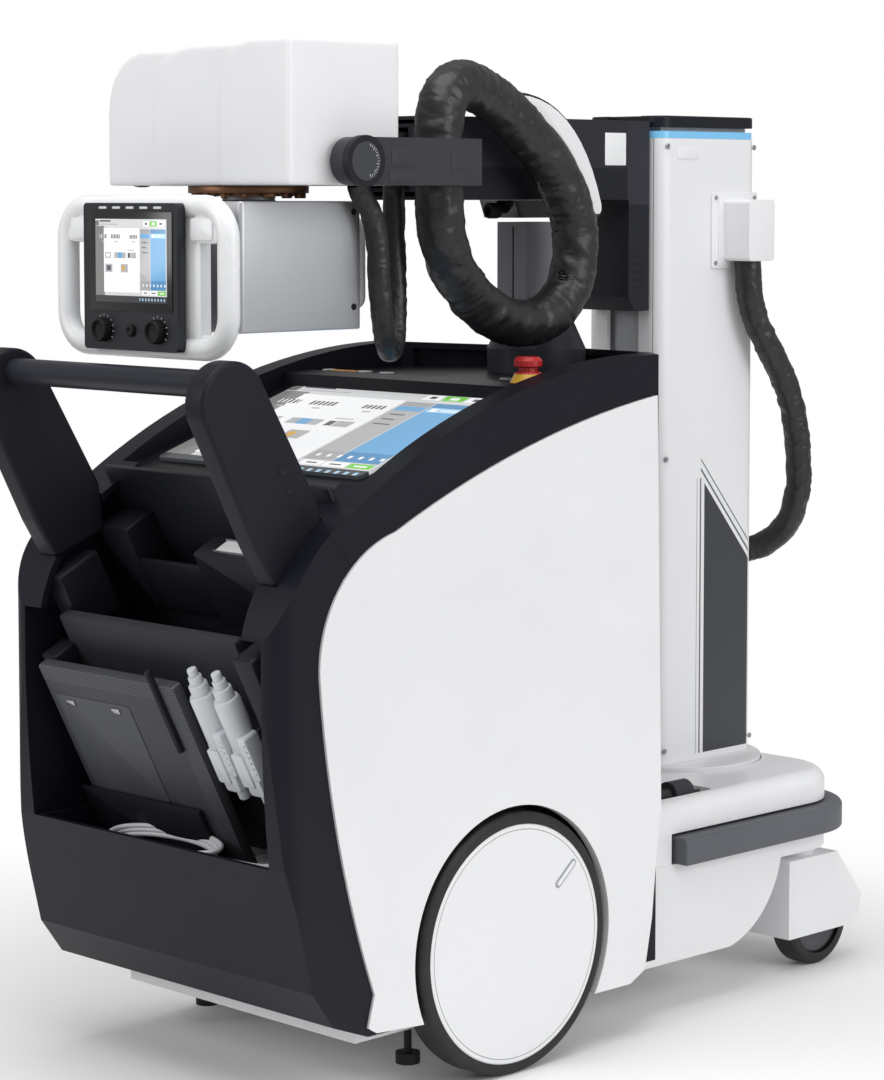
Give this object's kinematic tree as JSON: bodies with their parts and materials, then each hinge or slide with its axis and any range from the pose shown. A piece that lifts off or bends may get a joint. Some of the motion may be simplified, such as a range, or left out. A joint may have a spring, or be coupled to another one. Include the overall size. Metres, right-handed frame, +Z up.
{
  "type": "mobile x-ray machine",
  "caption": "Motorised hospital cart with a swivelling telescopic column and arm that hold an x-ray tube head, collimator and display over a patient's bed.",
  "frame": {"origin": "on the floor, under the middle of the whole machine", "axes": "+Z up, +Y the way the cart drives, the column's end, +X its right side"},
  "size_m": [0.555, 1.2971, 1.3388],
  "materials": {
    "white_moulding": "satin",
    "white_enamel": "satin",
    "graphite_moulding": "satin",
    "graphite_enamel": "satin",
    "chassis_enamel": "satin",
    "bumper_rubber": "matte",
    "tyre_rubber": "matte",
    "caster_rubber": "matte",
    "bright_steel": "satin",
    "brushed_alloy": "satin",
    "bronze_ring": "satin",
    "heavy_core": "matte",
    "screen_glass": "gloss",
    "blue_lens": "gloss",
    "stop_red": "gloss",
    "black_sleeve": "satin",
    "grey_hose": "matte",
    "plug_grey": "satin"
  },
  "bodies": {
    "chassis": {"base_body": "chassis_enamel", "base_cover": "white_moulding", "bumper": "bumper_rubber", "rear_foot_right": "bright_steel", "rear_foot_left": "bright_steel", "drive_axle_right": "bright_steel", "drive_axle_left": "bright_steel", "body_shell": "graphite_moulding", "side_panel_right": "white_moulding", "side_panel_left": "white_moulding", "power_block": "heavy_core", "console_deck": "white_moulding", "console_screen": "screen_glass", "storage_tray": "graphite_moulding", "detector_bay": "graphite_moulding", "detector_front": "graphite_moulding", "detector_back": "white_moulding", "handle_paddle_right": "graphite_moulding", "handle_paddle_left": "graphite_moulding", "handle_bar": "white_moulding", "emergency_stop": "stop_red", "dock_post": "white_moulding", "mains_plug": "plug_grey"},
    "drive_wheel_right": {"drive_tyre_right": "tyre_rubber", "drive_hub_right": "white_moulding"},
    "drive_wheel_left": {"drive_tyre_left": "tyre_rubber", "drive_hub_left": "white_moulding"},
    "caster_right": {"caster_cover_right": "white_moulding"},
    "caster_left": {"caster_cover_left": "white_moulding"},
    "caster_roller_right": {"caster_wheel_right": "caster_rubber"},
    "caster_roller_left": {"caster_wheel_left": "caster_rubber"},
    "column": {"turntable": "white_enamel", "column_outer": "white_enamel", "light_strip": "blue_lens", "hose_box": "white_moulding", "column_hose": "grey_hose"},
    "mast": {"mast": "brushed_alloy", "mast_cap": "graphite_moulding"},
    "carriage": {"carriage": "graphite_enamel", "arm_outer": "graphite_enamel", "arm_lock": "graphite_moulding"},
    "arm_middle": {"arm_middle": "graphite_enamel"},
    "arm_inner": {"arm_inner": "graphite_enamel"},
    "yoke": {"yoke": "graphite_enamel", "main_hose": "black_sleeve"},
    "tube_head": {"tube_housing": "white_moulding", "tilt_disc_right": "graphite_moulding", "tilt_disc_left": "graphite_moulding", "collimator_ring": "bronze_ring", "strap_hose": "black_sleeve"},
    "collimator": {"collimator": "brushed_alloy", "display_ring": "white_moulding", "display_module": "graphite_moulding", "display_bracket": "brushed_alloy"}
  },
  "joints": [
    {"name": "drive_spin_right", "type": "hinge", "parent": "chassis", "child": "drive_wheel_right", "pos_m": [0.254, -0.152, 0.1725], "axis": [1, 0, 0], "continuous": true},
    {"name": "caster_swivel_right", "type": "hinge", "parent": "chassis", "child": "caster_right", "pos_m": [0.182, 0.54, 0.188], "axis": [0, 0, 1], "continuous": true},
    {"name": "caster_spin_right", "type": "hinge", "parent": "caster_right", "child": "caster_roller_right", "pos_m": [0.182, 0.578, 0.068], "axis": [1, 0, 0], "continuous": true},
    {"name": "drive_spin_left", "type": "hinge", "parent": "chassis", "child": "drive_wheel_left", "pos_m": [-0.254, -0.152, 0.1725], "axis": [1, 0, 0], "continuous": true},
    {"name": "caster_swivel_left", "type": "hinge", "parent": "chassis", "child": "caster_left", "pos_m": [-0.182, 0.54, 0.188], "axis": [0, 0, 1], "continuous": true},
    {"name": "caster_spin_left", "type": "hinge", "parent": "caster_left", "child": "caster_roller_left", "pos_m": [-0.182, 0.578, 0.068], "axis": [1, 0, 0], "continuous": true},
    {"name": "column_swivel", "type": "hinge", "parent": "chassis", "child": "column", "pos_m": [0, 0.467, 0.297], "axis": [0, 0, 1], "range_deg": [-317, 317], "deforming": ["column_hose"]},
    {"name": "mast_lift", "type": "slide", "parent": "column", "child": "mast", "axis": [0, 0, 1], "range_m": [0, 0.4]},
    {"name": "carriage_lift", "type": "slide", "parent": "mast", "child": "carriage", "axis": [0, 0, 1], "range_m": [0, 0.4]},
    {"name": "arm_extend", "type": "slide", "parent": "carriage", "child": "arm_middle", "axis": [0, -1, 0], "range_m": [0, 0.3]},
    {"name": "arm_extend_inner", "type": "slide", "parent": "arm_middle", "child": "arm_inner", "axis": [0, -1, 0], "range_m": [0, 0.3]},
    {"name": "head_roll", "type": "hinge", "parent": "arm_inner", "child": "yoke", "pos_m": [0, -0.151, 1.186], "axis": [0, -1, 0], "range_deg": [-180, 180], "deforming": ["main_hose"]},
    {"name": "head_tilt", "type": "hinge", "parent": "yoke", "child": "tube_head", "pos_m": [0, -0.365, 1.186], "axis": [-1, 0, 0], "range_deg": [-10, 110], "deforming": ["strap_hose"]},
    {"name": "collimator_turn", "type": "hinge", "parent": "tube_head", "child": "collimator", "pos_m": [0, -0.365, 1.136], "axis": [0, 0, 1], "range_deg": [-90, 90]}
  ],
  "couplings": [
    {"joint": "carriage_lift", "follows": "mast_lift", "ratio": 1},
    {"joint": "arm_extend_inner", "follows": "arm_extend", "ratio": 1}
  ]
}
